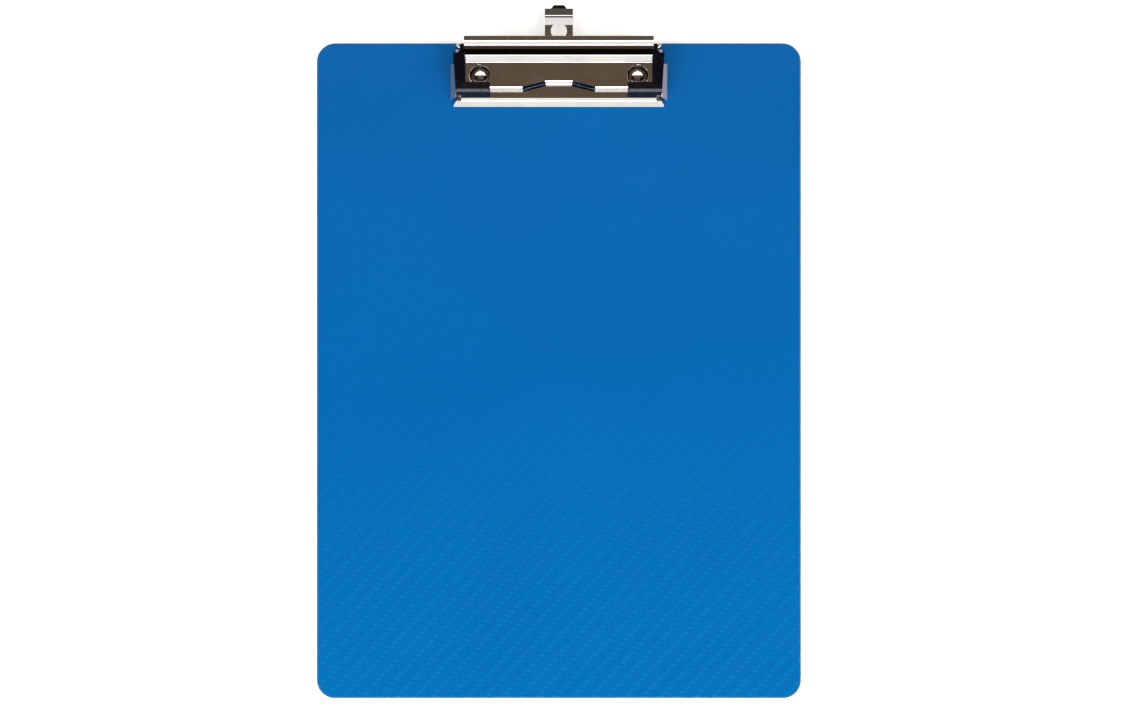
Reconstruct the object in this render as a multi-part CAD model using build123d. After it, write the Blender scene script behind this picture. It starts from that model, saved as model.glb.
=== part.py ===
"""Clipboard with a sprung metal clamp, two rubber corners and a sliding hanging tab.

Millimetres. X runs across the board, Y towards the clip end, Z out of the front.
The origin is the centre of the board's flat back face.
"""

from build123d import *
from math import acos, atan2, cos, hypot, pi, radians, sin, tan
import os

# Board
board_width = 235.0
board_length = 318.0
board_thickness = 3.0
board_corner_radius = 9.0
board_front_rounding = 1.1
board_back_chamfer = 0.5

# Base plate, measured down the board from its top edge and up from its front face
base_sheet = 0.8
base_width = 105.0
base_rear_inset = 0.6
base_front_reach = 30.9
plateau_height = 3.2
side_flange_run = 2.9
front_flange_run = 2.5
front_facet_run = 1.5
front_facet_drop = 0.75
front_corner_overhang = 1.3
side_flange_front = 28.4
corner_slit_inset = 1.0
corner_slit_reach = 26.2
corner_slit_width = 0.9
corner_slit_side_angle = 23.0
corner_slit_front_angle = 52.0
side_flange_rear = 10.2
bend_radius = 1.2

# Ears that carry the hinge pin
ear_foot_overhang = 0.6
ear_lean = 16.0
ear_crown_radius = 2.9
ear_foot_front = 9.6
ear_foot_rear = 1.4

# Hinge
pin_radius = 1.3
pin_setback = 5.5
pin_running_clearance = 0.05
pin_stub = 0.6

# Torsion springs
spring_wire = 1.1
spring_wire_sides = 6
spring_pin_clearance = 0.2
spring_plateau_clearance = 0.7
spring_shoulder_clearance = 0.8
spring_turns = 3
spring_turn_gap = 0.5
spring_side_inset = 21.5
spring_base_leg_reach = 3.7
spring_lever_leg_reach = 2.5
spring_touch_gap = 0.03

# Clamp lever
lever_sheet = 0.8
lever_side_inset = 4.1
lip_overhang = 1.6
lip_depth = 2.2
lip_slope_run = 2.1
lip_rise = 1.95
shoulder_flat_run = 1.8
shoulder_fall_run = 2.9
shoulder_fall = 0.8
jaw_slope_run = 3.0
jaw_reach = 22.1
jaw_height_over_plateau = 3.9
jaw_side_inset = 1.6
jaw_shoulder_gap = 0.7
jaw_lip_run = 1.4
jaw_lip_drop = 1.35
jaw_toe_run = 0.7
jaw_toe_gap = 0.35
lever_bend_radius = 1.8
valley_bend_radius = 0.5
arch_foot_width = 36.0
arch_crown_width = 12.6
arch_height = 2.95
arch_bend_radius = 6.0
cheek_radius = 2.9
cheek_front_depth = 1.6
access_hole_radius = 5.0
access_hole_chamfer = 0.2

# Rivets
rivet_side_inset = 11.5
rivet_setback = 16.6
rivet_head_radius = 3.5
rivet_head_height = 2.1
rivet_head_rim = 1.65
rivet_crown_radius = 2.0
rivet_shank_radius = 1.9
rivet_bore_radius = 1.2
rivet_hole_clearance = 0.1
rivet_tail_radius = 2.8
rivet_tail_height = 0.5
dimple_floor_radius = 4.0
dimple_mouth_radius = 6.0
washer_radius = 4.5
washer_thickness = 0.5
washer_recess_clearance = 0.25
back_recess_depth = 1.2

# Rubber corners
rubber_cover = 1.2
rubber_side_overhang = 1.1
rubber_side_taper = 1.1
rubber_arm_lap = 0.5
rubber_toe_length = 11.8
rubber_toe_depth = 6.8
rubber_arm_setback = 0.7
rubber_front_gap = 2.5
rubber_front_slope = 3.0
rubber_plateau_gap = 0.05
rubber_tail_thickness = 1.9
rubber_tail_rear = 1.9
rubber_tail_drop = 2.4
rubber_corner_radius = 2.4
rubber_edge_chamfer = 0.5
rubber_rib_height = 0.3
rubber_rib_width = 0.5
rubber_rib_pitch = 1.1
rubber_arm_rib_pitch = 1.8
rubber_rib_inset = 0.8
rubber_toe_ribs = 3
rubber_arm_ribs = 2

# Hanging tab
tab_sheet = 0.9
tab_width = 13.6
tab_hole_radius = 3.9
tab_hole_reach = 5.7
tab_board_clearance = 0.1
tab_slot_clearance = 0.15
tab_bend_reach = 8.8
tab_slope_run = 3.9
tab_slope_rise = 1.4
tab_grip_run = 3.5
tab_grip_drop = 1.1
tab_tongue_width = 8.0
tab_tongue_crown = 4.4
tab_tongue_run = 1.7
tab_tongue_drop = 1.2
tab_bend_radius = 1.2
tab_stop_width = 19.0
tab_stop_length = 3.0
tab_stop_gap = 0.1

# Places worked out from the sizes above
spring_coil_radius = pin_radius + spring_pin_clearance + spring_wire / 2
spring_outer_radius = spring_coil_radius + spring_wire / 2
pin_height = plateau_height + spring_plateau_clearance + spring_outer_radius
lip_front = lip_overhang - lip_depth
shoulder_rear = lip_front - lip_slope_run
shoulder_front = shoulder_rear - shoulder_flat_run
fall_at_pin = shoulder_fall * (pin_setback + shoulder_front) / shoulder_fall_run
shoulder_under = pin_height + spring_outer_radius + spring_shoulder_clearance + fall_at_pin
shoulder_height = shoulder_under + lever_sheet
lip_height = shoulder_height + lip_rise
jaw_height = plateau_height + jaw_height_over_plateau
fall_front = shoulder_front - shoulder_fall_run
jaw_rear = fall_front - jaw_slope_run
plateau_half_width = base_width / 2 - side_flange_run
ear_foot_half_span = plateau_half_width + ear_foot_overhang
lever_half_width = plateau_half_width - lever_side_inset
jaw_half_width = plateau_half_width - jaw_side_inset
rubber_outer = plateau_half_width + rubber_side_overhang
rubber_arm_inner = lever_half_width - rubber_arm_lap
rubber_toe_inner = rubber_arm_inner - rubber_toe_length
rubber_rear = -pin_setback - rubber_arm_setback
rubber_front = -jaw_reach - jaw_lip_run - jaw_toe_run - rubber_front_gap
rubber_top = jaw_height + rubber_cover
rubber_foot = plateau_height + rubber_plateau_gap
rubber_under = jaw_height - lever_sheet - rubber_cover
rubber_crest = shoulder_height - shoulder_fall + rubber_cover
rubber_slope_shift = rubber_cover * tan(atan2(rubber_crest - rubber_top, jaw_slope_run) / 2)
rubber_toe_rear = rubber_front + rubber_toe_depth
rivet_half_spacing = plateau_half_width - rivet_side_inset
spring_offset = lever_half_width - spring_side_inset
to_clip = Location((0, board_length / 2, board_thickness))


def strip(points, radii, thickness, side):
    """Section of a bent sheet: a line with rounded bends, given a thickness on one side."""
    line = FilletPolyline(*points, radius=radii) if radii else Polyline(*points)
    return make_face(offset(line, thickness, side=side, kind=Kind.INTERSECTION))


def along_x(section, half_width):
    """Solid of a section drawn in Y and Z, as wide each side of the middle."""
    return extrude(Plane.YZ * section, amount=half_width, both=True)


def slab_yz(points, x_from, x_to):
    """Solid of a closed outline drawn in Y and Z, between two planes across X."""
    face = make_face(Polyline(*points, close=True))
    return extrude(Plane.YZ.offset(x_from) * face, amount=x_to - x_from)


def block(x_from, x_to, y_from, y_to, z_from, z_to):
    """Box between pairs of planes."""
    middle = ((x_from + x_to) / 2, (y_from + y_to) / 2, (z_from + z_to) / 2)
    return Pos(*middle) * Box(abs(x_to - x_from), abs(y_to - y_from), abs(z_to - z_from))


def board():
    """Flexible plastic sheet with rounded corners, rivet holes and recesses behind."""
    plate = extrude(RectangleRounded(board_width, board_length, board_corner_radius), board_thickness)
    plate = fillet(plate.faces().sort_by(Axis.Z)[-1].edges(), board_front_rounding)
    plate = chamfer(plate.faces().sort_by(Axis.Z)[0].edges(), board_back_chamfer)
    recess_radius = washer_radius + washer_recess_clearance
    for place in rivet_places():
        hole = Cylinder(rivet_shank_radius + rivet_hole_clearance, 3 * board_thickness)
        recess = Cylinder(recess_radius, back_recess_depth, align=(Align.CENTER, Align.CENTER, Align.MIN))
        plate -= place * hole
        plate -= place * Pos(0, 0, -board_thickness) * recess
    return plate


def rivet_places():
    """Where the two rivets stand, on the front face of the board."""
    return [to_clip * Pos(side * rivet_half_spacing, -rivet_setback, 0) for side in (-1, 1)]


def base_sheet_body():
    """Raised plate with a flange at the rear and a two-step slope at the front."""
    rear = -base_rear_inset
    slope_top = front_flange_run - base_front_reach
    slope_drop = plateau_height - front_facet_drop
    section = strip(
        [
            (rear, -plateau_height),
            (rear, plateau_height),
            (slope_top + front_facet_run, plateau_height),
            (slope_top, slope_drop),
            (-base_front_reach - front_flange_run, -slope_drop),
        ],
        bend_radius,
        base_sheet,
        Side.LEFT,
    )
    slope = along_x(section, plateau_half_width + front_corner_overhang)
    slope -= block(
        -base_width, base_width, -side_flange_front, plateau_height, -plateau_height, 2 * plateau_height
    )
    return along_x(section, plateau_half_width) + slope


def side_flange():
    """Flange that slopes down to the board along the right side."""
    section = strip(
        [
            (plateau_half_width - 2 * bend_radius, plateau_height),
            (plateau_half_width, plateau_height),
            (base_width / 2 + side_flange_run, -plateau_height),
        ],
        bend_radius,
        base_sheet,
        Side.RIGHT,
    )
    return Pos(0, -side_flange_rear, 0) * extrude(Plane.XZ * section, side_flange_front - side_flange_rear)


def corner_slit():
    """Open wedge at the right front corner, between the ends of two flanges."""
    start = Vector(plateau_half_width - corner_slit_inset, -corner_slit_reach, 0)
    along_side = Vector(base_front_reach, 0, 0).rotate(Axis.Z, -corner_slit_side_angle)
    along_front = Vector(base_front_reach, 0, 0).rotate(Axis.Z, -corner_slit_front_angle)
    front = start - Vector(0, corner_slit_width, 0)
    outline = Polyline(start, start + along_side, front + along_front, front, close=True)
    return extrude(make_face(outline), 2 * plateau_height)


def ear():
    """Leaning ear on the right side, with a round crown about the hinge pin."""
    crown_top = pin_height + ear_crown_radius
    foot = plateau_height - base_sheet
    lean_in = (crown_top - foot) * tan(radians(ear_lean))
    section = strip(
        [
            (plateau_half_width - 2 * bend_radius, foot),
            (ear_foot_half_span, foot),
            (ear_foot_half_span - lean_in, crown_top),
        ],
        bend_radius,
        base_sheet,
        Side.LEFT,
    )
    sheet = extrude(Plane.XZ * section, ear_foot_front)
    crown = Pos(-pin_setback, pin_height) * Circle(ear_crown_radius)
    foot_line = Polyline(
        (-ear_foot_front, foot),
        (-ear_foot_rear, foot),
        (-ear_foot_rear, plateau_height),
        (-ear_foot_front, plateau_height),
        close=True,
    )
    outline = make_hull(crown.edges() + foot_line.edges())
    return sheet & extrude(Plane.YZ * outline, base_width)


def dimple():
    """Round cup pressed down to the board, where a rivet head sits."""
    section = strip(
        [
            (dimple_mouth_radius + 2 * base_sheet, plateau_height),
            (dimple_mouth_radius, plateau_height),
            (dimple_floor_radius, base_sheet),
            (0, base_sheet),
        ],
        0,
        base_sheet,
        Side.LEFT,
    )
    return revolve(Plane.XZ * section, Axis.Z)


def base_plate():
    """Pressed plate of the clamp: plateau, flanges, ears, rivet cups and tab slot."""
    plate = base_sheet_body()
    for part in (side_flange(), ear()):
        plate += part
        plate += mirror(part, Plane.YZ)
    plate -= corner_slit()
    plate -= mirror(corner_slit(), Plane.YZ)
    for side in (-1, 1):
        place = Pos(side * rivet_half_spacing, -rivet_setback, 0)
        plate -= place * Cylinder(dimple_mouth_radius + base_sheet, 3 * plateau_height)
        plate += place * dimple()
        plate -= place * Cylinder(rivet_shank_radius, 3 * plateau_height)
    slot_half = tab_width / 2 + tab_slot_clearance
    slot_top = tab_board_clearance + tab_sheet + tab_slot_clearance
    plate -= block(-slot_half, slot_half, -2 * bend_radius, 0, 0, slot_top)
    plate -= Pos(0, -pin_setback, pin_height) * Rot(0, 90, 0) * Cylinder(pin_radius, 2 * base_width)
    plate &= block(-base_width, base_width, -2 * base_front_reach, 0, 0, 2 * pin_height)
    return to_clip * plate


def lever_profile():
    """Bends of the lever's upper surface in Y and Z, from the lip to the jaw."""
    return [
        (lip_overhang, lip_height),
        (lip_front, lip_height),
        (shoulder_rear, shoulder_height),
        (shoulder_front, shoulder_height),
        (fall_front, shoulder_height - shoulder_fall),
        (jaw_rear, jaw_height),
        (jaw_rear - jaw_slope_run, jaw_height),
    ]


def jaw_edge():
    """Front edge of the jaw plate seen from above, with the arch in its middle."""
    foot = arch_foot_width / 2
    crown = arch_crown_width / 2
    back = arch_height - jaw_reach
    return FilletPolyline(
        (-jaw_half_width, -jaw_reach),
        (-foot, -jaw_reach),
        (-crown, back),
        (crown, back),
        (foot, -jaw_reach),
        (jaw_half_width, -jaw_reach),
        radius=arch_bend_radius,
    )


def jaw_lip():
    """Lip bent down all along the front edge, round the arch."""
    front = -jaw_reach
    section = strip(
        [
            (front + 2 * lever_bend_radius, jaw_height),
            (front, jaw_height),
            (front - jaw_lip_run, jaw_height - jaw_lip_drop),
            (front - jaw_lip_run - jaw_toe_run, plateau_height + jaw_toe_gap),
        ],
        lever_bend_radius,
        lever_sheet,
        Side.LEFT,
    )
    return sweep(Plane.YZ.offset(-jaw_half_width) * section, path=jaw_edge())


def jaw_plate():
    """Flat plate from the foot of the slope to the front edge."""
    edge = jaw_edge()
    rear = jaw_rear - jaw_shoulder_gap
    back = Polyline(edge @ 1, (jaw_half_width, rear), (-jaw_half_width, rear), edge @ 0)
    outline = make_face([edge, back])
    return Pos(0, 0, jaw_height - lever_sheet) * extrude(outline, lever_sheet)


def cheek():
    """Side wall of the lever that turns on the hinge pin."""
    under = lever_sheet / 2
    top = [
        (shoulder_rear, shoulder_height - under),
        (shoulder_front, shoulder_height - under),
        (fall_front, shoulder_height - shoulder_fall - under),
        (jaw_rear, jaw_height - under),
        (jaw_rear, jaw_height - lever_sheet - cheek_front_depth),
    ]
    crown = Pos(-pin_setback, pin_height) * Circle(cheek_radius)
    outline = make_hull(crown.edges() + Polyline(*top).edges())
    wall = extrude(Plane.YZ.offset(lever_half_width - lever_sheet) * outline, lever_sheet)
    above = slab_yz(top[:4] + [(jaw_rear, 2 * lip_height), (shoulder_rear, 2 * lip_height)], 0, base_width)
    return wall - above


def clamp_lever():
    """One pressed sheet: lip, stepped shoulder, flat jaw with an arch, and two cheeks."""
    radii = [lever_bend_radius, valley_bend_radius, lever_bend_radius, lever_bend_radius, valley_bend_radius]
    section = strip(lever_profile(), radii, lever_sheet, Side.LEFT)
    lever = along_x(section, lever_half_width) + jaw_plate() + jaw_lip()
    lever += cheek()
    lever += mirror(cheek(), Plane.YZ)
    for side in (-1, 1):
        place = Pos(side * rivet_half_spacing, -rivet_setback, jaw_height)
        lever -= place * Cylinder(access_hole_radius, 4 * lever_sheet)
        lever -= place * Cone(
            access_hole_radius - lever_sheet,
            access_hole_radius + access_hole_chamfer,
            lever_sheet + access_hole_chamfer,
            align=(Align.CENTER, Align.CENTER, Align.MAX),
        )
    bore = Cylinder(pin_radius + pin_running_clearance, 4 * lever_half_width)
    lever -= Pos(0, -pin_setback, pin_height) * Rot(0, 90, 0) * bore
    return to_clip * lever


def hinge_pin():
    """Rod through the ears and the cheeks."""
    foot = plateau_height - base_sheet
    ear_face = ear_foot_half_span - (pin_height - foot) * tan(radians(ear_lean))
    rod = Cylinder(pin_radius, 2 * (ear_face + pin_stub))
    return to_clip * Pos(0, -pin_setback, pin_height) * Rot(0, 90, 0) * rod


def two_arcs(start, start_way, end, end_way):
    """Pair of arcs that joins two points and is tangent to a direction at each."""
    across = end - start
    ways = start_way + end_way
    bend = 2 * (1 - start_way.dot(end_way))
    reach = (-across.dot(ways) + (across.dot(ways) ** 2 + bend * across.dot(across)) ** 0.5) / bend
    first = start + start_way * reach
    second = end - end_way * reach
    middle = (first + second) * 0.5
    return [
        TangentArc(start, middle, tangent=start_way),
        TangentArc(middle, end, tangent=(second - first).normalized()),
    ]


def coil_point(turn, pitch):
    """Place on the coil after an angle in radians, about the pin's axis."""
    return Vector(-turn * pitch / (2 * pi), spring_coil_radius * cos(turn), spring_coil_radius * sin(turn))


def coil_way(turn, pitch):
    """Direction of the coil there, as the angle falls."""
    rise = pitch / (2 * pi)
    return Vector(rise, spring_coil_radius * sin(turn), -spring_coil_radius * cos(turn)).normalized()


def spring_path():
    """Line of the wire: a leg on the base, the turns, and a leg under the lever."""
    pitch = spring_wire + spring_turn_gap
    base_drop = pin_height - plateau_height - spring_wire / 2 - spring_touch_gap
    base_tip = Vector(0, spring_base_leg_reach, -base_drop)
    lever_lift = shoulder_under - spring_wire / 2 - 2 * spring_touch_gap - pin_height
    lever_tip = Vector(0, spring_lever_leg_reach, lever_lift)
    start = atan2(base_tip.Z, base_tip.Y) - acos(spring_coil_radius / base_tip.length)
    end = atan2(lever_tip.Z, lever_tip.Y) + acos(spring_coil_radius / lever_tip.length)
    end -= 2 * pi * (spring_turns + 1)
    halves = round((start - end) / pi)
    step = (end - start) / halves
    edges = []
    for half in range(halves):
        near = start + half * step
        far = near + step
        edges += two_arcs(
            coil_point(near, pitch), coil_way(near, pitch), coil_point(far, pitch), coil_way(far, pitch)
        )
    base_leg = hypot(base_tip.Y - coil_point(start, pitch).Y, base_tip.Z - coil_point(start, pitch).Z)
    lever_leg = hypot(lever_tip.Y - coil_point(end, pitch).Y, lever_tip.Z - coil_point(end, pitch).Z)
    first = coil_point(start, pitch)
    last = coil_point(end, pitch)
    edges.insert(0, Line(first - coil_way(start, pitch) * base_leg, first))
    edges.append(Line(last, last + coil_way(end, pitch) * lever_leg))
    return Wire(edges)


def least_gap(path, count=700):
    """Smallest clear distance between turns of the wire, measured on points."""
    points = [path @ (index / count) for index in range(count + 1)]
    apart = path.length / count
    skip = round(pi * spring_coil_radius / apart)
    gaps = [
        (points[i] - points[j]).length - spring_wire
        for i in range(0, count, 2)
        for j in range(i + skip, count, 2)
    ]
    return min(gaps)


def torsion_spring(side):
    """Coil about the pin that lifts the lip and so presses the jaw down."""
    path = spring_path()
    print(f"least gap of the spring to itself: {least_gap(path):.3f} mm")
    start = Plane(origin=path @ 0, z_dir=path % 0)
    wire = sweep(start * RegularPolygon(spring_wire / 2, spring_wire_sides), path=path)
    middle = wire.bounding_box().center().X
    wire = Pos(-middle, 0, 0) * wire
    if side > 0:
        wire = mirror(wire, Plane.YZ)
    return to_clip * Pos(side * spring_offset, -pin_setback, pin_height) * wire


def rubber_roof(raised=0, front_inset=0):
    """Line of the long arm's top in Y and Z, from its rear end to the fold at its front."""
    rear_height = rubber_crest + (rubber_rear - fall_front) * shoulder_fall / shoulder_fall_run
    return [
        (rubber_rear, rear_height + raised),
        (rubber_toe_rear, rubber_top + raised),
        (rubber_front + rubber_front_slope + front_inset, rubber_top + raised),
    ]


def rubber_section():
    """Outline of the long arm in Y and Z: its roof, its front, and a heel below."""
    roof = rubber_roof()
    wall = rubber_cover + lever_sheet
    heel = -ear_foot_front - rubber_cover
    return roof + [
        (rubber_front, rubber_foot),
        (heel, rubber_foot),
        (heel, jaw_height - lever_sheet),
        (fall_front + rubber_slope_shift / 2, rubber_crest - wall),
        (rubber_rear, roof[0][1] - wall),
    ]


def rubber_toe():
    """Short arm of the rubber, along the front of the jaw."""
    outline = [
        (rubber_toe_rear, rubber_top),
        (rubber_front + rubber_front_slope, rubber_top),
        (rubber_front, rubber_foot),
        (rubber_front + rubber_front_slope, rubber_foot),
        (rubber_toe_rear, rubber_under),
    ]
    return slab_yz(outline, rubber_toe_inner, rubber_outer)


def rubber_ribs():
    """Ribs along the top of the long arm and across the top of the short one."""
    ribs = []
    middle = (rubber_arm_inner + rubber_outer - rubber_side_taper) / 2
    outline = rubber_roof(rubber_rib_height, rubber_rib_inset)
    outline += rubber_roof(-rubber_rib_height, rubber_rib_inset)[::-1]
    for index in range(rubber_arm_ribs):
        inner = middle + (index - (rubber_arm_ribs - 1) / 2) * rubber_arm_rib_pitch - rubber_rib_width / 2
        ribs.append(slab_yz(outline, inner, inner + rubber_rib_width))
    crest = rubber_top + rubber_rib_height
    for index in range(rubber_toe_ribs):
        back = rubber_toe_rear - (index + 0.5) * rubber_rib_pitch
        front = back - rubber_rib_width
        ribs.append(block(rubber_toe_inner, rubber_arm_inner, front, back, rubber_under, crest))
    return ribs


def rubber_plan():
    """Space over the outline of the corner, drawn in at the front and rounded."""
    outline = make_face(
        Polyline(
            (rubber_outer, 0),
            (rubber_outer, rubber_rear),
            (rubber_outer - rubber_side_taper, rubber_front),
            (rubber_toe_inner, rubber_front),
            (rubber_toe_inner, 0),
            close=True,
        )
    )
    corner = outline.vertices().sort_by(Axis.Y)[:2].sort_by(Axis.X)[-1]
    return Pos(0, 0, rubber_foot) * extrude(fillet(corner, rubber_corner_radius), lip_height)


def rubber_body():
    """Both arms of the corner with their ribs, eased along the fold at the front."""
    body = slab_yz(rubber_section(), rubber_arm_inner, rubber_outer) + rubber_toe()
    body &= rubber_plan()
    creases = body.edges().filter_by(Axis.X).filter_by_position(Axis.Z, rubber_top, rubber_top)
    fold = creases.sort_by(Axis.Y)[0]
    body = chamfer(fold, rubber_edge_chamfer)
    for rib in rubber_ribs():
        body += rib
    return body


def rubber_tail():
    """Tongue of the rubber that runs back beside the lever above the pin."""
    crest = shoulder_height - lever_sheet / 2
    low = crest - rubber_tail_drop
    outline = [
        (-rubber_tail_rear, crest),
        (shoulder_front, crest),
        (fall_front, crest - shoulder_fall),
        (fall_front, low),
        (-rubber_tail_rear, low),
    ]
    return slab_yz(outline, lever_half_width, lever_half_width + rubber_tail_thickness)


def rubber_corner(side):
    """Soft corner that grips the edge of the jaw and bears on the base plate."""
    corner = to_clip * (rubber_body() + rubber_tail())
    corner -= clamp_lever()
    corner = max(corner.solids(), key=lambda solid: solid.volume)
    if side < 0:
        corner = mirror(corner, Plane.YZ)
    return corner


def hanging_tab():
    """Flat tab with a round hole, a raised grip and a wide inner end."""
    low = tab_board_clearance
    stop_front = -base_rear_inset - base_sheet - tab_stop_gap
    inner = stop_front - tab_stop_length
    ridge = tab_bend_reach + tab_slope_run
    section = strip(
        [
            (inner, low),
            (tab_bend_reach, low),
            (ridge, low + tab_slope_rise),
            (ridge + tab_grip_run, low + tab_slope_rise - tab_grip_drop),
        ],
        tab_bend_radius,
        tab_sheet,
        Side.LEFT,
    )
    tab = along_x(section, tab_width / 2)
    wide = along_x(section, tab_stop_width / 2)
    tab += wide & block(-tab_stop_width, tab_stop_width, inner, stop_front, 0, plateau_height)
    tab -= Pos(0, tab_hole_reach, 0) * Cylinder(tab_hole_radius, 4 * plateau_height)
    return to_clip * (tab + grip_tongue())


def grip_tongue():
    """Rounded tongue in the middle of the grip's edge, bent down a little."""
    edge = tab_bend_reach + tab_slope_run + tab_grip_run
    height = tab_board_clearance + tab_slope_rise - tab_grip_drop
    section = strip(
        [
            (edge - tab_sheet, height + tab_sheet * tab_grip_drop / tab_grip_run),
            (edge, height),
            (edge + tab_tongue_run, height - tab_tongue_drop),
        ],
        tab_sheet / 4,
        tab_sheet,
        Side.LEFT,
    )
    outline = make_hull(
        Polyline(
            (-tab_tongue_width / 2, edge - tab_sheet),
            (tab_tongue_width / 2, edge - tab_sheet),
            (tab_tongue_width / 2, edge),
            (tab_tongue_crown / 2, edge + tab_tongue_run + tab_sheet),
            (-tab_tongue_crown / 2, edge + tab_tongue_run + tab_sheet),
            (-tab_tongue_width / 2, edge),
            close=True,
        ).edges()
    )
    return along_x(section, tab_width / 2) & extrude(outline, 4 * plateau_height, both=True)


def rivet():
    """Round head with a low crown, a tubular shank and a rolled tail behind."""
    seat = base_sheet
    tail_seat = back_recess_depth - board_thickness - washer_thickness
    bore_end = seat - rivet_shank_radius
    section = make_face(
        Polyline(
            (rivet_bore_radius, tail_seat - rivet_tail_height),
            (rivet_tail_radius - rivet_tail_height / 2, tail_seat - rivet_tail_height),
            (rivet_tail_radius, tail_seat),
            (rivet_shank_radius, tail_seat),
            (rivet_shank_radius, seat),
            (rivet_head_radius, seat),
            (rivet_head_radius, seat + rivet_head_rim),
            (rivet_crown_radius, seat + rivet_head_height),
            (0, seat + rivet_head_height),
            (0, bore_end),
            (rivet_bore_radius, bore_end),
            close=True,
        )
    )
    return revolve(Plane.XZ * section, Axis.Z)


def rivet_washer():
    """Flat ring under the rolled tail of a rivet."""
    ring = Cylinder(washer_radius, washer_thickness, align=(Align.CENTER, Align.CENTER, Align.MAX))
    ring -= Cylinder(rivet_shank_radius + rivet_hole_clearance / 2, 4 * washer_thickness)
    return Pos(0, 0, back_recess_depth - board_thickness) * ring


def all_parts():
    """Every sub-part under its node's name."""
    parts = {
        "board": board(),
        "base_plate": base_plate(),
        "clamp_lever": clamp_lever(),
        "hinge_pin": hinge_pin(),
        "hanging_tab": hanging_tab(),
    }
    for side, word, place in zip((-1, 1), ("left", "right"), rivet_places()):
        parts[f"torsion_spring_{word}"] = torsion_spring(side)
        parts[f"rubber_corner_{word}"] = rubber_corner(side)
        parts[f"rivet_{word}"] = place * rivet()
        parts[f"rivet_washer_{word}"] = place * rivet_washer()
    return parts


os.makedirs("parts", exist_ok=True)
for name, shape in all_parts().items():
    export_step(shape, f"parts/{name}.step")
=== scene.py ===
"""Clipboard with a plated clamp: finishes, eased edges, springs, rubber corners and a studio."""

import math

import bmesh
import bpy
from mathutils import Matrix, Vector


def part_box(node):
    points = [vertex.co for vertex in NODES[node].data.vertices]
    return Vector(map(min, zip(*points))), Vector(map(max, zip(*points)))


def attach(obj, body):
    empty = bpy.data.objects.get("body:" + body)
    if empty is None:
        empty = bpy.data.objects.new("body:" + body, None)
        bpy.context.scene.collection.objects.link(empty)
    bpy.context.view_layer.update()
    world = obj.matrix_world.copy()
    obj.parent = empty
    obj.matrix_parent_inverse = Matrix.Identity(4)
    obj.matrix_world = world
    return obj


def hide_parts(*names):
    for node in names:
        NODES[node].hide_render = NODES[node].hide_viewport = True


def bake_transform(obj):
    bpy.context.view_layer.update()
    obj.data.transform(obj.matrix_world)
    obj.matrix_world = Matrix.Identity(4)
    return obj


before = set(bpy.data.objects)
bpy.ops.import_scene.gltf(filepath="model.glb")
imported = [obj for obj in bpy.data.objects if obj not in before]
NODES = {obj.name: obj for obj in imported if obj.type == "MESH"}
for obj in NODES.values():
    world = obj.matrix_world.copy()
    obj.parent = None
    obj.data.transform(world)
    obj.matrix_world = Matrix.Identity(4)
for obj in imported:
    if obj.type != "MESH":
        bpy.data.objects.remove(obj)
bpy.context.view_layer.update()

MM = 0.001

WELD = 0.002 * MM  # vertices nearer than this are one
PIN_Y, PIN_Z = 153.5, 9.5  # the hinge pin's axis, in millimetres
WHITE = (1.0, 1.0, 1.0, 1)
DARK = (0.004, 0.003, 0.002, 1)


class Level:
    """A number that changes over a surface, used in plain sums."""

    def __init__(self, finish, socket):
        self.finish = finish
        self.socket = socket

    def _sum(self, operation, *terms):
        made = self.finish.node("Math", {"operation": operation}, dict(enumerate(terms)))
        return Level(self.finish, made.outputs[0])

    def __add__(self, other):
        return self._sum("ADD", self, other)

    def __radd__(self, other):
        return self._sum("ADD", other, self)

    def __sub__(self, other):
        return self._sum("SUBTRACT", self, other)

    def __rsub__(self, other):
        return self._sum("SUBTRACT", other, self)

    def __mul__(self, other):
        return self._sum("MULTIPLY", self, other)

    def __truediv__(self, other):
        return self._sum("DIVIDE", self, other)

    def __pow__(self, other):
        return self._sum("POWER", self, other)

    def floor(self):
        return self._sum("FLOOR", self)

    def wave(self):
        return self._sum("SINE", self)

    def over(self, other):
        return self._sum("MAXIMUM", self, other)

    def under(self, other):
        return self._sum("MINIMUM", self, other)

    def round_of(self, length):
        return self._sum("FLOORED_MODULO", self, length)

    def ramp(self, low, high):
        """Nought below one value, one above the other, smooth in between."""
        made = self.finish.node(
            "MapRange",
            {"interpolation_type": "SMOOTHSTEP"},
            {"Value": self, "From Min": low, "From Max": high},
        )
        return Level(self.finish, made.outputs["Result"])

    def fade(self, low, high):
        """One below one value, nought above the other."""
        return 1.0 - self.ramp(low, high)

    def band(self, rise, fall):
        """One between a rising and a falling edge, nought outside them."""
        return self.ramp(*rise) * self.fade(*fall)


class Nodes:
    """A node tree and the one way its nodes are made."""

    def __init__(self, owner):
        owner.use_nodes = True
        self.tree = owner.node_tree

    def feed(self, socket, value):
        """Sets a socket to a constant or links what changes into it."""
        if isinstance(value, Level):
            value = value.socket
        if isinstance(value, bpy.types.NodeSocket):
            self.tree.links.new(value, socket)
        else:
            socket.default_value = value

    def node(self, kind, settings=None, sockets=None):
        """Makes one node: its settings first, then what its sockets hold."""
        made = self.tree.nodes.new("ShaderNode" + kind)
        for key, value in (settings or {}).items():
            setattr(made, key, value)
        for key, value in (sockets or {}).items():
            self.feed(made.inputs[key], value)
        return made

    def split(self, vector):
        """The three parts of a vector as levels."""
        parts = self.node("SeparateXYZ", sockets={0: vector})
        return [Level(self, socket) for socket in parts.outputs]

    def blend(self, share, first, second):
        """Colour between two, by a level."""
        made = self.node("Mix", {"data_type": "RGBA"}, {0: share, 6: first, 7: second})
        return made.outputs[2]


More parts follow.
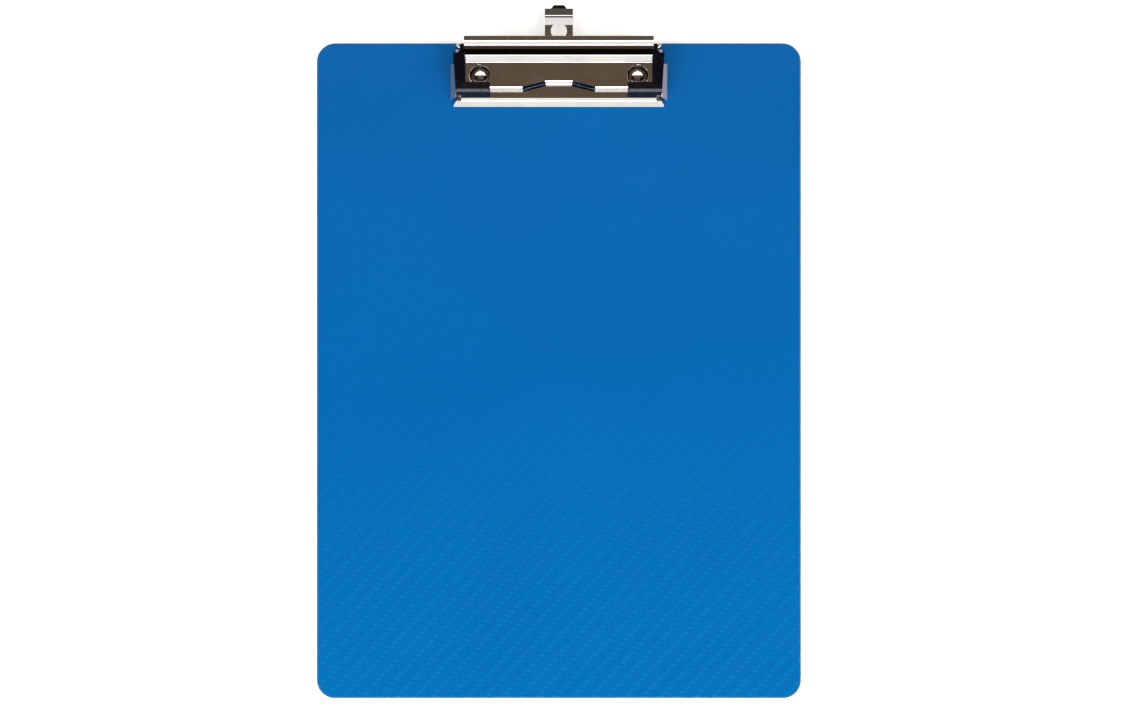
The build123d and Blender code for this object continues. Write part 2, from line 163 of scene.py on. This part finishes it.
class Finish(Nodes):
    """A procedural material and its surface shader."""

    def __init__(self, name, **constants):
        self.material = bpy.data.materials.new(name)
        super().__init__(self.material)
        self.shader = self.tree.nodes["Principled BSDF"]
        self.where = self.node("TexCoord").outputs["Object"]
        for key, value in constants.items():
            self.feed(self.shader.inputs[key.replace("_", " ")], value)

    def axes(self):
        """The three object coordinates as levels, in millimetres."""
        made = self.node("VectorMath", {"operation": "SCALE"}, {0: self.where, "Scale": 1 / MM})
        return self.split(made.outputs[0])

    def noise(self, size, detail=2.0, stretch=(1, 1, 1)):
        """Soft noise with features of a size in millimetres, drawn out along the axes."""
        scale = [1 / (MM * size * share) for share in stretch]
        place = self.node("Mapping", sockets={"Vector": self.where, "Scale": scale})
        made = self.node(
            "TexNoise",
            sockets={"Vector": place.outputs[0], "Scale": 1.0, "Detail": detail, "Roughness": 0.5},
        )
        return Level(self, made.outputs["Fac"])

    def relief(self, height, depth):
        """Bump with a depth in millimetres, fed to the shader's normal."""
        sockets = {"Height": height, "Distance": depth * MM, "Strength": 1.0}
        self.set("Normal", self.node("Bump", sockets=sockets).outputs[0])

    def set(self, name, value):
        self.feed(self.shader.inputs[name], value)


def board_plastic():
    """Blue plastic sheet: twill grain with a painted sheen, both fading towards the clamp, satin
    skin, glossy edge.
    """
    cell = 2.2  # width of one strand of the twill, in millimetres
    period = 4.0  # strands after which the twill repeats
    turn = math.radians(1.9)
    finish = Finish(
        "board_plastic", Metallic=0.0, IOR=1.49, Specular_IOR_Level=0.14, Coat_Roughness=0.15
    )
    x, y, z = finish.axes()
    u = (x * math.cos(turn) + y * math.sin(turn)) / cell
    v = (y * math.cos(turn) - x * math.sin(turn)) / cell
    row = v.floor()
    column = u.floor()
    across = (u - row).round_of(period) * (math.pi / 2)
    along = (v - column + 3.0).round_of(period) * (math.pi / 2)
    weft = across.wave().over(0.0) * ((v - row) * math.pi).wave()
    warp = along.wave().over(0.0) * ((u - column) * math.pi).wave()
    grain = (weft ** 0.6).over((warp ** 0.6) * 0.6)
    front = z.ramp(2.7, 2.99)
    worn = finish.noise(60.0, 3.0)
    # The grain's relief and its painted sheen weaken towards the clamp, standing in for light
    # falling from the front.
    sheen_fade = 1.0 - y.ramp(-140.0, 30.0) * 0.85
    grain_and_sheen = grain * front * (0.75 + worn * 0.5) * sheen_fade
    skin = finish.noise(0.35, 2.0)
    finish.relief(grain_and_sheen * 0.9 + skin * 0.1, 0.10)
    low = finish.noise(90.0, 2.0).ramp(0.3, 0.7)
    body = finish.blend(low, (0.0, 0.074, 0.255, 1), (0.0, 0.080, 0.268, 1))
    # Painted sheen: the raised grain is coloured a lighter blue, strongest at the end away from the
    # clamp.
    colour = finish.blend((grain_and_sheen * 0.8).under(1.0), body, (0.0, 0.12, 0.31, 1))
    finish.set("Base Color", colour)
    finish.set("Coat Weight", z.band((2.5, 2.75), (2.94, 2.995)))
    finish.set("Roughness", 0.24 + skin * 0.1 - grain_and_sheen * 0.06)
    return finish.material


def plated_steel():
    """Bright nickel plate over pressed sheet: drawing lines, rubbed places, a painted dark
    reflection in the valley.
    """
    tint = (0.80, 0.78, 0.74)
    finish = Finish("plated_steel", Metallic=1.0)
    lines = finish.noise(0.5, 3.0, stretch=(40, 1, 1))
    cloud = finish.noise(14.0, 3.0)
    rub = finish.noise(5.0, 4.0, stretch=(3, 1, 1)).ramp(0.55, 0.8)
    finish.relief(lines * 0.6 + cloud * 0.4, 0.0025)
    deep = tuple(part * 0.93 for part in tint) + (1,)
    plate = finish.blend(cloud.ramp(0.35, 0.65), deep, tint + (1,))
    _, y, z = finish.axes()
    # Painted reflection: the valley behind the lip is coloured dark brown in place of the dark
    # mirror image seen there.
    valley = y.band((151.2, 151.8), (155.3, 155.9)) * z.ramp(6.5, 7.5)
    painted_dark_reflection = valley * (0.8 + cloud * 0.4) * 0.7
    finish.set("Base Color", finish.blend(painted_dark_reflection.under(1.0), plate, (0.10, 0.075, 0.05, 1)))
    finish.set("Roughness", 0.05 + lines * 0.05 + rub * 0.06)
    return finish.material


def drawn_rod():
    """Drawn steel rod, with fine rings from turning in the lever."""
    finish = Finish("drawn_rod", Metallic=1.0)
    rings = finish.noise(0.25, 2.0, stretch=(1, 30, 30))
    cloud = finish.noise(6.0, 3.0)
    finish.relief(rings, 0.006)
    finish.set("Base Color", finish.blend(cloud, (0.42, 0.40, 0.38, 1), (0.6, 0.58, 0.55, 1)))
    finish.set("Roughness", 0.22 + rings * 0.12)
    return finish.material


def oiled_wire():
    """Spring wire with a thin oil film and drawing marks."""
    finish = Finish("oiled_wire", Metallic=1.0)
    marks = finish.noise(0.4, 3.0)
    film = finish.noise(3.0, 2.0).ramp(0.4, 0.7)
    finish.relief(marks, 0.008)
    finish.set("Base Color", finish.blend(film, (0.30, 0.29, 0.28, 1), (0.5, 0.48, 0.45, 1)))
    finish.set("Roughness", 0.3 - film * 0.12 + marks * 0.1)
    return finish.material


def black_rubber():
    """Glossy black rubber with a faint blue cast and a soft skin."""
    finish = Finish("black_rubber", Metallic=0.0, IOR=1.5, Specular_IOR_Level=0.27)
    skin = finish.noise(0.6, 3.0)
    dust = finish.noise(2.5, 4.0).ramp(0.55, 0.75)
    finish.relief(skin, 0.012)
    finish.set("Base Color", finish.blend(dust, (0.002, 0.002, 0.005, 1), (0.006, 0.006, 0.011, 1)))
    finish.set("Roughness", 0.2 + skin * 0.1 + dust * 0.15)
    return finish.material


def rivet_steel():
    """Plated rivet with brownish patches and a lightly hammered skin."""
    finish = Finish("rivet_steel", Metallic=1.0)
    skin = finish.noise(0.8, 3.0)
    stain = finish.noise(2.0, 3.0).ramp(0.45, 0.7)
    finish.relief(skin, 0.01)
    finish.set("Base Color", finish.blend(stain, (0.86, 0.83, 0.79, 1), (0.70, 0.60, 0.48, 1)))
    finish.set("Roughness", 0.08 + skin * 0.06 + stain * 0.06)
    return finish.material


def paint(piece, material):
    """Gives a piece one finish."""
    piece.data.materials.clear()
    piece.data.materials.append(material)


def ease(piece, width, segments=2, angle=40.0):
    """Rounds the sharp edges of a CAD node with modifiers; its own mesh stays as it is."""
    weld = piece.modifiers.new("join", "WELD")
    weld.merge_threshold = WELD
    flat = piece.modifiers.new("flats", "DECIMATE")
    flat.decimate_type = "DISSOLVE"
    flat.angle_limit = math.radians(0.4)
    edge = piece.modifiers.new("edges", "BEVEL")
    edge.width = width * MM
    edge.segments = segments
    edge.limit_method = "ANGLE"
    edge.angle_limit = math.radians(angle)
    edge.harden_normals = False
    even_shading(piece)


def even_shading(piece):
    """Lets large faces decide how the rounded edges shade."""
    shade = piece.modifiers.new("shade", "WEIGHTED_NORMAL")
    shade.weight = 80


def settle(work):
    """Joins doubled vertices and turns every face outwards."""
    bmesh.ops.remove_doubles(work, verts=work.verts, dist=WELD)
    bmesh.ops.recalc_face_normals(work, faces=work.faces)


def finished(work, name):
    """Turns the work into a mesh."""
    mesh = bpy.data.meshes.new(name)
    work.to_mesh(mesh)
    work.free()
    return mesh


def round_edges(work, edges, width, segments):
    """Rounds the chosen edges by a width in millimetres."""
    bmesh.ops.bevel(
        work, geom=edges, offset=width * MM, offset_type="OFFSET", segments=segments, profile=0.5,
        affect="EDGES", clamp_overlap=True, material=-1,
    )


def shaped(name, mesh, material, body, slot, *nodes):
    """Puts a finished mesh in the scene, on its body and in place of its nodes."""
    piece = bpy.data.objects.new(name, mesh)
    bpy.context.scene.collection.objects.link(piece)
    paint(piece, material)
    for polygon in mesh.polygons:
        polygon.use_smooth = True
    if body:
        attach(piece, body)
    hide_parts(*nodes)
    return piece


def steepen_front(work, front):
    """Moves the front slope of a rubber corner onto a shorter run and lowers its fold."""
    top, height = 11.3 * MM, 5.05 * MM
    solid_run, worn_run = 3.0 * MM, 2.5 * MM
    for vert in work.verts:
        fall = top - vert.co.z
        slope = front + solid_run * (1 - fall / height)
        if abs(vert.co.y - slope) < 0.02 * MM and fall > 0.2 * MM:
            if fall < 0.6 * MM:
                fall = 0.9 * MM
            vert.co = (vert.co.x, front + worn_run * (1 - fall / height), top - fall)


def rubber_corner(word, material):
    """Moulded corner: a joined copy of its solid with a soft outer rim and eased ribs."""
    node = f"rubber_corner_{word}"
    work = bmesh.new()
    work.from_mesh(NODES[node].data)
    bmesh.ops.remove_doubles(work, verts=work.verts, dist=WELD)
    bmesh.ops.dissolve_limit(
        work, angle_limit=math.radians(0.5), verts=work.verts, edges=work.edges,
        use_dissolve_boundaries=False,
    )
    low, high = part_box(node)
    steepen_front(work, low.y)
    work.normal_update()
    outside = 48.7 * MM
    rim = []
    for edge in work.edges:
        if len(edge.link_faces) != 2 or edge.calc_face_angle() < math.radians(25):
            continue
        walls = [face for face in edge.link_faces if abs(face.normal.z) < 0.2]
        roofs = [face for face in edge.link_faces if face.normal.z > 0.25]
        if walls and roofs and abs(walls[0].calc_center_median().x) > outside:
            rim.append(edge)
    round_edges(work, rim, 0.75, 4)
    fold = []
    for edge in work.edges:
        if len(edge.link_faces) != 2:
            continue
        if not math.radians(24) < edge.calc_face_angle() < math.radians(40):
            continue
        faces = [face.normal for face in edge.link_faces]
        if all(abs(way.x) < 0.1 and way.z > 0.3 and way.y < 0.1 for way in faces):
            fold.append(edge)
    round_edges(work, fold, 0.6, 4)
    sharp = [
        edge for edge in work.edges
        if len(edge.link_faces) == 2 and edge.calc_face_angle() > math.radians(32)
    ]
    round_edges(work, sharp, 0.14, 2)
    mesh = finished(work, f"corner_{word}")
    even_shading(shaped(f"corner_{word}", mesh, material, "lever", "black_rubber", node))


def rivet_head(word, material):
    """Rivet turned about its axis: crowned head, rolled rim, shank and flared tail."""
    node = f"rivet_{word}"
    low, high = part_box(node)
    middle = (low + high) / 2
    head, shank = 2.1, 1.9  # the head's height and the shank's radius, in millimetres
    crown, rise, steps = 3.0, 0.36, 8
    seat = high.z - head * MM
    outline = [(0.0, head)]
    for step in range(1, steps + 1):
        reach = crown * step / steps
        outline.append((reach, head - rise * (reach / crown) ** 2))
    outline += [
        (3.22, 1.66), (3.38, 1.5), (3.47, 1.3), (3.5, 1.05), (3.5, 0.12), (3.42, 0.0), (shank, 0.0),
    ]
    tail = (low.z - seat) / MM
    outline += [
        (shank, tail + 0.5), (2.62, tail + 0.5), (2.76, tail + 0.4), (2.78, tail + 0.25),
        (2.7, tail + 0.1), (2.5, tail), (1.6, tail), (1.35, tail + 0.08), (1.2, tail + 0.3),
        (1.2, -1.75), (1.05, -1.9), (0.0, -1.9),
    ]
    work = bmesh.new()
    line = [
        work.verts.new((middle.x + reach * MM, middle.y, seat + height * MM))
        for reach, height in outline
    ]
    edges = [work.edges.new(pair) for pair in zip(line, line[1:])]
    bmesh.ops.spin(
        work, geom=line + edges, cent=(middle.x, middle.y, 0), axis=(0, 0, 1), dvec=(0, 0, 0),
        angle=2 * math.pi, steps=64, use_merge=True,
    )
    settle(work)
    name = f"rivet_{word}_turned"
    even_shading(shaped(name, finished(work, name), material, "base", "rivet_steel", node))


def spring(side, word, material):
    """Torsion spring round the pin: a leg on the base, the turns and a leg under the lever."""
    node = f"torsion_spring_{word}"
    low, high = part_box(node)
    wire, coil, pitch = 0.55 * MM, 2.05 * MM, 1.6 * MM  # two radii and the climb of one turn
    turns = 3
    axis_y, axis_z = PIN_Y * MM, PIN_Z * MM
    base_tip = Vector((0, 3.7 * MM, low.z + wire - axis_z))
    lever_tip = Vector((0, 2.5 * MM, high.z - wire - axis_z))
    start = math.atan2(base_tip.z, base_tip.y) - math.acos(coil / base_tip.length)
    end = math.atan2(lever_tip.z, lever_tip.y) + math.acos(coil / lever_tip.length)
    end -= 2 * math.pi * (turns + 1)
    steps = 32 * (turns + 1)
    outer = high.x if side > 0 else low.x
    line = []
    for step in range(steps + 1):
        angle = start + (end - start) * step / steps
        x = outer - side * (wire + (start - angle) * pitch / (2 * math.pi))
        y, z = axis_y + coil * math.cos(angle), axis_z + coil * math.sin(angle)
        line.append(Vector((x, y, z)))
    base_end = Vector((line[0].x, axis_y + base_tip.y, axis_z + base_tip.z))
    lever_end = Vector((line[-1].x, axis_y + lever_tip.y, axis_z + lever_tip.z))
    line = [base_end] + line + [lever_end]
    curve = bpy.data.curves.new(f"spring_{word}_line", "CURVE")
    curve.dimensions = "3D"
    curve.bevel_depth = wire
    curve.bevel_resolution = 4
    curve.use_fill_caps = True
    spline = curve.splines.new("POLY")
    spline.points.add(len(line) - 1)
    for point, place in zip(spline.points, line):
        point.co = (*place, 1)
    guide = bpy.data.objects.new(f"spring_{word}_guide", curve)
    bpy.context.scene.collection.objects.link(guide)
    bpy.context.view_layer.update()
    graph = bpy.context.evaluated_depsgraph_get()
    mesh = bpy.data.meshes.new_from_object(guide.evaluated_get(graph))
    bpy.data.objects.remove(guide)
    bpy.data.curves.remove(curve)
    work = bmesh.new()
    work.from_mesh(mesh)
    settle(work)
    work.to_mesh(mesh)
    work.free()
    piece = shaped(f"spring_{word}", mesh, material, None, "spring_wire", node)
    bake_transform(piece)


def backdrop(name, mesh, finish):
    """Surface of the studio, which isn't part of the object."""
    made = bpy.data.objects.new(name, mesh)
    bpy.context.scene.collection.objects.link(made)
    paint(made, finish.material)
    return made


def floor():
    """Plain pale floor just under the board, faintly lit by itself to soften shadows."""
    work = bmesh.new()
    bmesh.ops.create_grid(work, x_segments=1, y_segments=1, size=1.5)
    bmesh.ops.translate(work, verts=work.verts, vec=(0, 0, -0.1 * MM))
    pale = Finish("pale_floor", Roughness=0.9, Emission_Strength=0.3)
    pale.set("Emission Color", WHITE)
    tone = pale.blend(pale.noise(400.0, 2.0), (0.92, 0.92, 0.92, 1), (0.95, 0.95, 0.95, 1))
    pale.set("Base Color", tone)
    backdrop("floor", finished(work, "floor"), pale)


def surround():
    """White dome behind the floor, which only the camera sees."""
    work = bmesh.new()
    bmesh.ops.create_uvsphere(work, u_segments=48, v_segments=24, radius=5.0)
    bmesh.ops.reverse_faces(work, faces=work.faces)
    white = Finish("white_dome", Roughness=0.9, Emission_Strength=1.0)
    tone = white.blend(white.noise(900.0, 2.0), (0.98, 0.98, 0.98, 1), WHITE)
    white.set("Emission Color", tone)
    made = backdrop("dome", finished(work, "dome"), white)
    made.visible_diffuse = made.visible_glossy = made.visible_shadow = False
    made.visible_transmission = False


def lamp(name, place, size, power, colour=(1, 1, 1)):
    """Soft box turned towards the object, which mirrors don't show."""
    data = bpy.data.lights.new(name, "AREA")
    data.shape = "RECTANGLE"
    data.size, data.size_y = size
    data.energy = power
    data.color = colour
    made = bpy.data.objects.new(name, data)
    made.location = place
    made.rotation_euler = (-Vector(place)).to_track_quat("-Z", "Y").to_euler()
    made.visible_glossy = False
    bpy.context.scene.collection.objects.link(made)


def room():
    """What shows in the plated metal: ceiling, window, side boxes and dark gaps between them."""
    world = bpy.data.worlds.new("studio_room")
    sky = Nodes(world)
    x, y, z = sky.split(sky.node("TexCoord").outputs["Generated"])
    side = x.over(x * -1.0)
    front = (y * -1.0).over(0.001)
    spread = side / front
    wall = sky.blend(x.ramp(-0.2, 0.2), (0.42, 0.38, 0.24, 1), (1.5, 1.15, 0.85, 1))
    colour = sky.blend(z.ramp(0.55, 0.75), wall, DARK)
    colour = sky.blend(z.ramp(0.972, 0.982), colour, (0.122, 0.088, 0.062, 1))
    north = y.band((0.22, 0.25), (0.54, 0.60)) * side.fade(0.42, 0.5)
    colour = sky.blend(north, colour, (1.9, 1.85, 1.8, 1))
    far = y.ramp(0.60, 0.66) * z.fade(0.72, 0.78)
    far_wall = sky.blend(z.ramp(0.15, 0.6), (0.012, 0.008, 0.012, 1), (0.10, 0.09, 0.08, 1))
    colour = sky.blend(far, colour, far_wall)
    colour = sky.blend(front.ramp(0.08, 0.12), colour, DARK)
    middle = spread.fade(0.16, 0.19)
    window = front.ramp(0.45, 0.50) * middle
    boxes = front.ramp(0.25, 0.32) * spread.ramp(0.48, 0.54) * z.fade(0.42, 0.5)
    colour = sky.blend(window.over(boxes), colour, (1.06, 1.05, 1.05, 1))
    strip = front.band((0.76, 0.79), (0.86, 0.89)) * z.ramp(0.1, 0.2) * middle
    colour = sky.blend(strip, colour, (12.0, 11.8, 13.0, 1))
    back = sky.tree.nodes["Background"]
    sky.feed(back.inputs["Color"], colour)
    back.inputs["Strength"].default_value = 1.0
    bpy.context.scene.world = world


def camera():
    """Camera straight above the board, as high as the photo asks for."""
    data = bpy.data.cameras.new("camera")
    data.sensor_width = 36.0
    seen_width = 546.0  # what the picture spans at one metre, in millimetres
    data.lens = data.sensor_width * 1000.0 / seen_width
    data.clip_end = 20.0
    made = bpy.data.objects.new("camera", data)
    made.location = (2.0 * MM, 8.0 * MM, 1.003)
    bpy.context.scene.collection.objects.link(made)
    bpy.context.scene.camera = made
    bpy.context.scene.view_settings.view_transform = "Standard"


steel = plated_steel()
rivet = rivet_steel()
paint(NODES["board"], board_plastic())
for name, material, width in (
    ("base_plate", steel, 0.12),
    ("clamp_lever", steel, 0.12),
    ("hanging_tab", steel, 0.12),
    ("hinge_pin", drawn_rod(), 0.25),
    ("rivet_washer_left", rivet, 0.08),
    ("rivet_washer_right", rivet, 0.08),
):
    paint(NODES[name], material)
    ease(NODES[name], width)
rubber = black_rubber()
wire = oiled_wire()
for side, word in ((-1, "left"), (1, "right")):
    rubber_corner(word, rubber)
    spring(side, word, wire)
    rivet_head(word, rivet)
floor()
surround()
lamp("front_box", (0.0, -1.1, 0.75), (2.2, 0.8), 24, (1.0, 0.98, 0.9))
lamp("left_box", (-1.5, -0.5, 1.5), (2.0, 1.6), 34)
lamp("right_box", (1.5, -0.5, 1.5), (2.0, 1.6), 34)
room()
camera()
